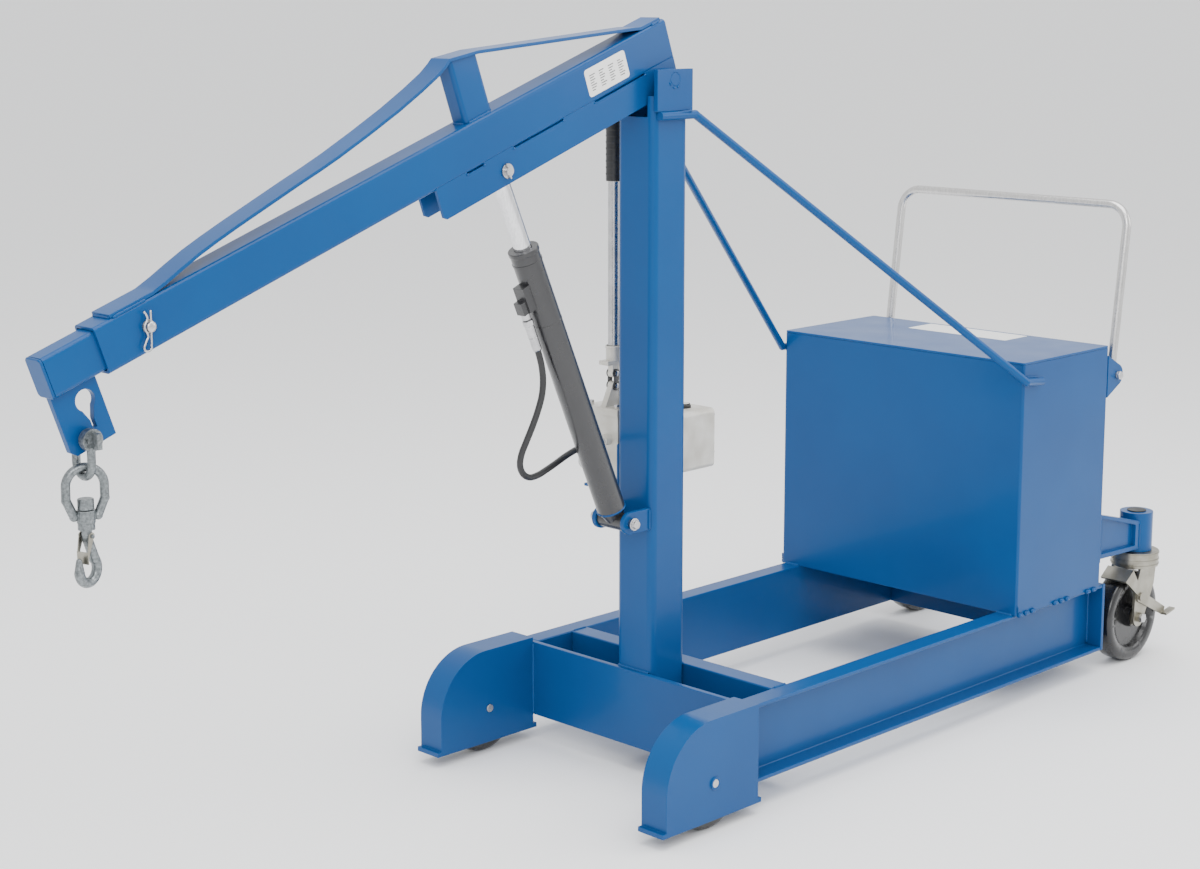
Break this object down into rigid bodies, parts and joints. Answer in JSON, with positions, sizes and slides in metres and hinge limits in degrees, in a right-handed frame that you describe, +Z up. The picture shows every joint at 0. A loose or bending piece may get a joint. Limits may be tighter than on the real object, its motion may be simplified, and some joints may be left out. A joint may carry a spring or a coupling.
{
  "type": "engine hoist crane",
  "caption": "Counterbalanced floor crane: wheeled frame with a ballast box, mast, ram-lifted boom with a pull-out extension, and a swivel hook.",
  "frame": {"origin": "floor plane z = 0 under the centre of the crane's bounding box", "axes": "-X forwards, where the boom points; -Y the crane's left side; +Z up"},
  "size_m": [2.6839, 0.6828, 1.4323],
  "materials": {
    "blue_paint": "glossy blue powder coat",
    "steel": "bright zinc-plated steel",
    "brushed": "brushed stainless tube",
    "chrome": "hard chrome",
    "black_paint": "gloss black paint",
    "zinc": "yellowish zinc plate",
    "galvanised": "galvanised forged steel",
    "cast_silver": "silver-painted casting",
    "caster_tread": "dark phenolic wheel",
    "black_plastic": "satin",
    "rubber": "smooth hose cover",
    "ballast_iron": "rough"
  },
  "bodies": {
    "frame": {"left_rail": "blue_paint", "right_rail": "blue_paint", "front_plate": "blue_paint", "rear_crossbeam": "blue_paint", "rear_plate": "blue_paint", "mast": "blue_paint", "mast_cheeks": "blue_paint", "ram_ears": "blue_paint", "left_wheel_housing": "blue_paint", "right_wheel_housing": "blue_paint", "counterweight_box": "blue_paint", "counterweight_lid": "blue_paint", "ballast_slabs": "ballast_iron", "tie_bars": "blue_paint", "left_caster_arm": "blue_paint", "right_caster_arm": "blue_paint", "socket_plugs": "black_plastic", "handle_ears": "blue_paint", "handle_pins": "steel", "boom_pivot_pin": "blue_paint", "ram_foot_pin": "steel", "front_axles": "steel", "pump_bracket": "blue_paint", "pump_head": "cast_silver", "pump_tank": "cast_silver", "fulcrum_links": "black_paint", "hose": "rubber"},
    "left_front_wheel": {"left_front_wheel": "caster_tread"},
    "right_front_wheel": {"right_front_wheel": "caster_tread"},
    "left_caster": {"left_caster_fork": "zinc"},
    "right_caster": {"right_caster_fork": "zinc"},
    "left_caster_wheel": {"left_caster_wheel": "caster_tread"},
    "right_caster_wheel": {"right_caster_wheel": "caster_tread"},
    "left_brake": {"left_caster_brake": "zinc"},
    "right_brake": {"right_caster_brake": "zinc"},
    "push_handle": {"push_handle": "brushed"},
    "boom": {"boom_tube": "blue_paint", "boom_channel": "blue_paint", "king_post": "blue_paint", "truss_strap": "blue_paint", "pivot_sleeve": "blue_paint", "ram_head_pin": "steel", "hitch_pin": "steel"},
    "extension": {"extension_tube": "blue_paint", "extension_cap": "blue_paint", "hook_plate": "blue_paint"},
    "shackle": {"shackle": "galvanised", "shackle_pin": "galvanised"},
    "swivel_eye": {"swivel_eye": "galvanised"},
    "hook": {"hook": "galvanised", "swivel_nut": "galvanised"},
    "latch": {"safety_latch": "zinc"},
    "ram_barrel": {"ram_barrel": "black_paint", "ram_gland": "black_paint", "ram_port": "black_paint"},
    "ram_rod": {"ram_rod": "chrome", "ram_piston": "steel"},
    "release_valve": {"release_valve": "steel"},
    "pump_handle": {"pump_handle": "cast_silver"},
    "pump_plunger": {"pump_plunger": "steel"}
  },
  "joints": [
    {"name": "boom_pivot", "type": "hinge", "parent": "frame", "child": "boom", "pos_m": [-0.02784, 0, 1.3205], "axis": [0, 1, 0], "range_deg": [-10, 30]},
    {"name": "barrel_tilt", "type": "hinge", "parent": "frame", "child": "ram_barrel", "pos_m": [-0.12584, 0, 0.501], "axis": [0, 1, 0], "range_deg": [-5, 8], "deforming": ["hose"]},
    {"name": "rod_slide", "type": "slide", "parent": "ram_barrel", "child": "ram_rod", "axis": [-0.4022, 0, 0.9156], "range_m": [-0.08, 0.225]},
    {"name": "extension_slide", "type": "slide", "parent": "boom", "child": "extension", "axis": [-0.9415, 0, -0.3371], "range_m": [0, 0.3]},
    {"name": "shackle_swing", "type": "hinge", "parent": "extension", "child": "shackle", "pos_m": [-1.26153, 0, 0.82354], "axis": [0, 1, 0], "range_deg": [-50, 50]},
    {"name": "eye_swing", "type": "hinge", "parent": "shackle", "child": "swivel_eye", "pos_m": [-1.26153, 0, 0.77104], "axis": [0, 1, 0], "range_deg": [-18, 18]},
    {"name": "hook_swivel", "type": "hinge", "parent": "swivel_eye", "child": "hook", "pos_m": [-1.26153, 0, 0.69404], "axis": [0, 0, 1], "continuous": true},
    {"name": "latch_hinge", "type": "hinge", "parent": "hook", "child": "latch", "pos_m": [-1.26248, -0.00031, 0.67404], "axis": [0.309, -0.9511, 0], "range_deg": [0, 20], "stiffness_Nm_per_rad": 0.05, "springref_deg": -28.65},
    {"name": "pump_lever", "type": "hinge", "parent": "frame", "child": "pump_handle", "pos_m": [-0.02984, 0.1, 0.757], "axis": [0, -1, 0], "range_deg": [0, 55]},
    {"name": "plunger_slide", "type": "slide", "parent": "frame", "child": "pump_plunger", "axis": [0, 0, 1], "range_m": [-0.001, 0.026]},
    {"name": "valve_turn", "type": "hinge", "parent": "frame", "child": "release_valve", "pos_m": [-0.08184, 0.118, 0.59], "axis": [1, 0, 0], "range_deg": [0, 180]},
    {"name": "handle_hinge", "type": "hinge", "parent": "frame", "child": "push_handle", "pos_m": [1.09716, 0, 0.664], "axis": [0, 1, 0], "range_deg": [-15, 120]},
    {"name": "left_front_spin", "type": "hinge", "parent": "frame", "child": "left_front_wheel", "pos_m": [-0.20584, -0.2965, 0.09], "axis": [0, 1, 0], "continuous": true},
    {"name": "left_caster_swivel", "type": "hinge", "parent": "frame", "child": "left_caster", "pos_m": [1.25116, -0.286, 0.24], "axis": [0, 0, 1], "continuous": true},
    {"name": "left_caster_spin", "type": "hinge", "parent": "left_caster", "child": "left_caster_wheel", "pos_m": [1.21616, -0.286, 0.1015], "axis": [0, 1, 0], "continuous": true},
    {"name": "left_brake_lever", "type": "hinge", "parent": "left_caster", "child": "left_brake", "pos_m": [1.21416, -0.325, 0.15], "axis": [0, -1, 0], "range_deg": [0, 10]},
    {"name": "right_front_spin", "type": "hinge", "parent": "frame", "child": "right_front_wheel", "pos_m": [-0.20584, 0.2965, 0.09], "axis": [0, 1, 0], "continuous": true},
    {"name": "right_caster_swivel", "type": "hinge", "parent": "frame", "child": "right_caster", "pos_m": [1.25116, 0.286, 0.24], "axis": [0, 0, 1], "continuous": true},
    {"name": "right_caster_spin", "type": "hinge", "parent": "right_caster", "child": "right_caster_wheel", "pos_m": [1.21616, 0.286, 0.1015], "axis": [0, 1, 0], "continuous": true},
    {"name": "right_brake_lever", "type": "hinge", "parent": "right_caster", "child": "right_brake", "pos_m": [1.21416, 0.325, 0.15], "axis": [0, -1, 0], "range_deg": [0, 10]}
  ],
  "couplings": [
    {"joint": "barrel_tilt", "follows": "boom_pivot", "ratio": 0.11},
    {"joint": "rod_slide", "follows": "boom_pivot", "m_per_rad": 0.4035},
    {"joint": "plunger_slide", "follows": "pump_lever", "m_per_rad": 0.02501}
  ]
}
